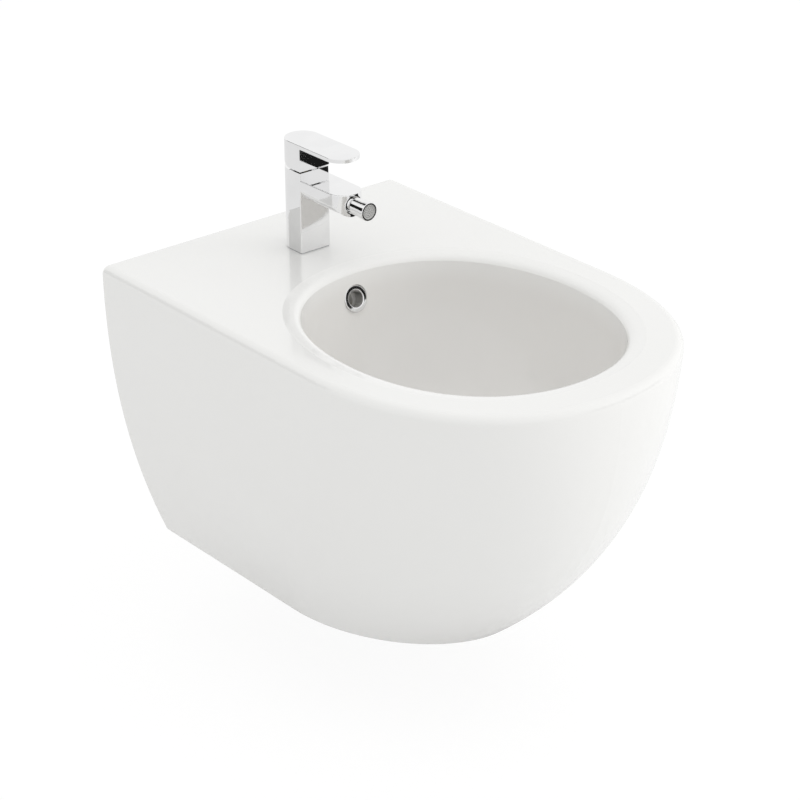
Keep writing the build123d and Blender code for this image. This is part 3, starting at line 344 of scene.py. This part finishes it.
# Studio: pale floor below the hung body, plain surroundings, soft lamps and dark cards
floor_drop = 0.095
floor_size = 14.0
floor_whiteness = 0.88
floor_glow = 1.03
ambient = 0.905
middle = (0.0, -0.25, 0.0)

# Each lamp: centre, side of its square, power
lamps = {
    "key": ((1.8, -1.9, 0.55), 1.6, 15.0),
    "top": ((0.1, -0.3, 2.2), 2.0, 5.6),
}

# Each card: centre, point that it faces, width, depth
dark_cards = {
    "card_back_left": ((-1.4, 1.43, 0.62), middle, 1.25, 0.95),
    "card_front_right": ((1.3, -1.8, 0.15), middle, 1.6, 0.5),
    "card_before_tap": ((0.09, -0.2525, 0.095), (0.09, -0.2525, 1.0), 0.1, 0.095),
}


def flat_panel(name, width, depth, centre, facing):
    """A flat rectangle whose front faces a point."""
    half_w = width / 2
    half_d = depth / 2
    corners = [(-half_w, -half_d, 0), (half_w, -half_d, 0), (half_w, half_d, 0), (-half_w, half_d, 0)]
    mesh = bpy.data.meshes.new(name)
    mesh.from_pydata(corners, [], [(0, 1, 2, 3)])
    panel = bpy.data.objects.new(name, mesh)
    bpy.context.scene.collection.objects.link(panel)
    panel.location = centre
    panel.rotation_euler = (Vector(facing) - Vector(centre)).to_track_quat("Z", "Y").to_euler()
    return panel


def pale_floor():
    """Floor that looks white from above, takes the shadow, and can't be seen from below."""
    f = Finish("pale_floor")
    mottle = f.noise(3.0, 2.0)
    paint = f.blend(mottle, (0.9, 0.9, 0.9), (0.88, 0.88, 0.88))
    matt = f.node("ShaderNodeBsdfDiffuse", None, {"Color": paint})
    lit = f.node("ShaderNodeEmission", None, {"Color": (1.0, 1.0, 1.0), "Strength": floor_glow})
    seen = f.node("ShaderNodeLightPath", out="Is Camera Ray")
    above = f.node("ShaderNodeMixShader", None, {0: seen * floor_whiteness, 1: matt, 2: lit})
    return f.one_sided(above)


def black_felt():
    """Dull black on the front and nothing on the back, so that only what a card faces mirrors it."""
    f = Finish("black_felt")
    nap = f.noise(40.0, 2.0)
    shade = f.blend(nap, (0.008, 0.008, 0.008), (0.014, 0.014, 0.014))
    return f.one_sided(f.node("ShaderNodeBsdfDiffuse", None, {"Color": shade}))


def plain_surroundings():
    """White to the camera and in mirrors, and slightly dimmer as the light on everything."""
    world = bpy.data.worlds.new("studio")
    bpy.context.scene.world = world
    f = Finish("studio", world)
    seen = f.node("ShaderNodeLightPath", out="Is Camera Ray")
    mirrored = f.node("ShaderNodeLightPath", out="Is Glossy Ray")
    strength = (seen + mirrored) * (1.0 - ambient) + ambient
    background = f.node("ShaderNodeBackground", None, {"Color": (1.0, 1.0, 1.0), "Strength": strength})
    f.node("ShaderNodeOutputWorld", None, {"Surface": background})


def soft_lamp(name, centre, size, power):
    """Square lamp that faces the object and that nothing mirrors."""
    light = bpy.data.lights.new(name, "AREA")
    light.shape = "SQUARE"
    light.size = size
    light.energy = power
    lamp = bpy.data.objects.new(name, light)
    bpy.context.scene.collection.objects.link(lamp)
    lamp.location = centre
    lamp.rotation_euler = (Vector(middle) - Vector(centre)).to_track_quat("-Z", "Y").to_euler()
    lamp.visible_glossy = False


floor_level = cad_box[0].z - floor_drop
floor = flat_panel("floor", floor_size, floor_size, (0, 0, floor_level), (0, 0, 1))
floor.data.materials.append(pale_floor())
plain_surroundings()

felt = black_felt()
for name, (centre, facing, width, depth) in dark_cards.items():
    card = flat_panel(name, width, depth, centre, facing)
    card.data.materials.append(felt)
    card.visible_camera = False
    card.visible_diffuse = False
    card.visible_shadow = False

for name, (centre, size, power) in lamps.items():
    soft_lamp(name, centre, size, power)

# Camera, solved from the photograph's outline, with its focal length in the picture's pixels
yaw = math.radians(39.884)
pitch = math.radians(26.029)
roll = math.radians(-0.203)
camera_place = (-1.4018, -1.9033, 1.0339)
focal_length = 2573.5
picture_width = 800.0
sensor_width = 36.0

ahead = Vector((math.sin(yaw) * math.cos(pitch), math.cos(yaw) * math.cos(pitch), -math.sin(pitch)))
level_right = ahead.cross(Vector((0, 0, 1))).normalized()
level_up = level_right.cross(ahead)
right = math.cos(roll) * level_right + math.sin(roll) * level_up
up = -math.sin(roll) * level_right + math.cos(roll) * level_up
turn = Matrix((right, up, -ahead)).transposed()

lens = bpy.data.cameras.new("camera")
lens.sensor_width = sensor_width
lens.lens = sensor_width * focal_length / picture_width
lens.clip_start = 0.05
lens.clip_end = 60.0
camera = bpy.data.objects.new("camera", lens)
bpy.context.scene.collection.objects.link(camera)
camera.matrix_world = Matrix.Translation(camera_place) @ turn.to_4x4()
bpy.context.scene.camera = camera
bpy.context.scene.view_settings.view_transform = "Standard"
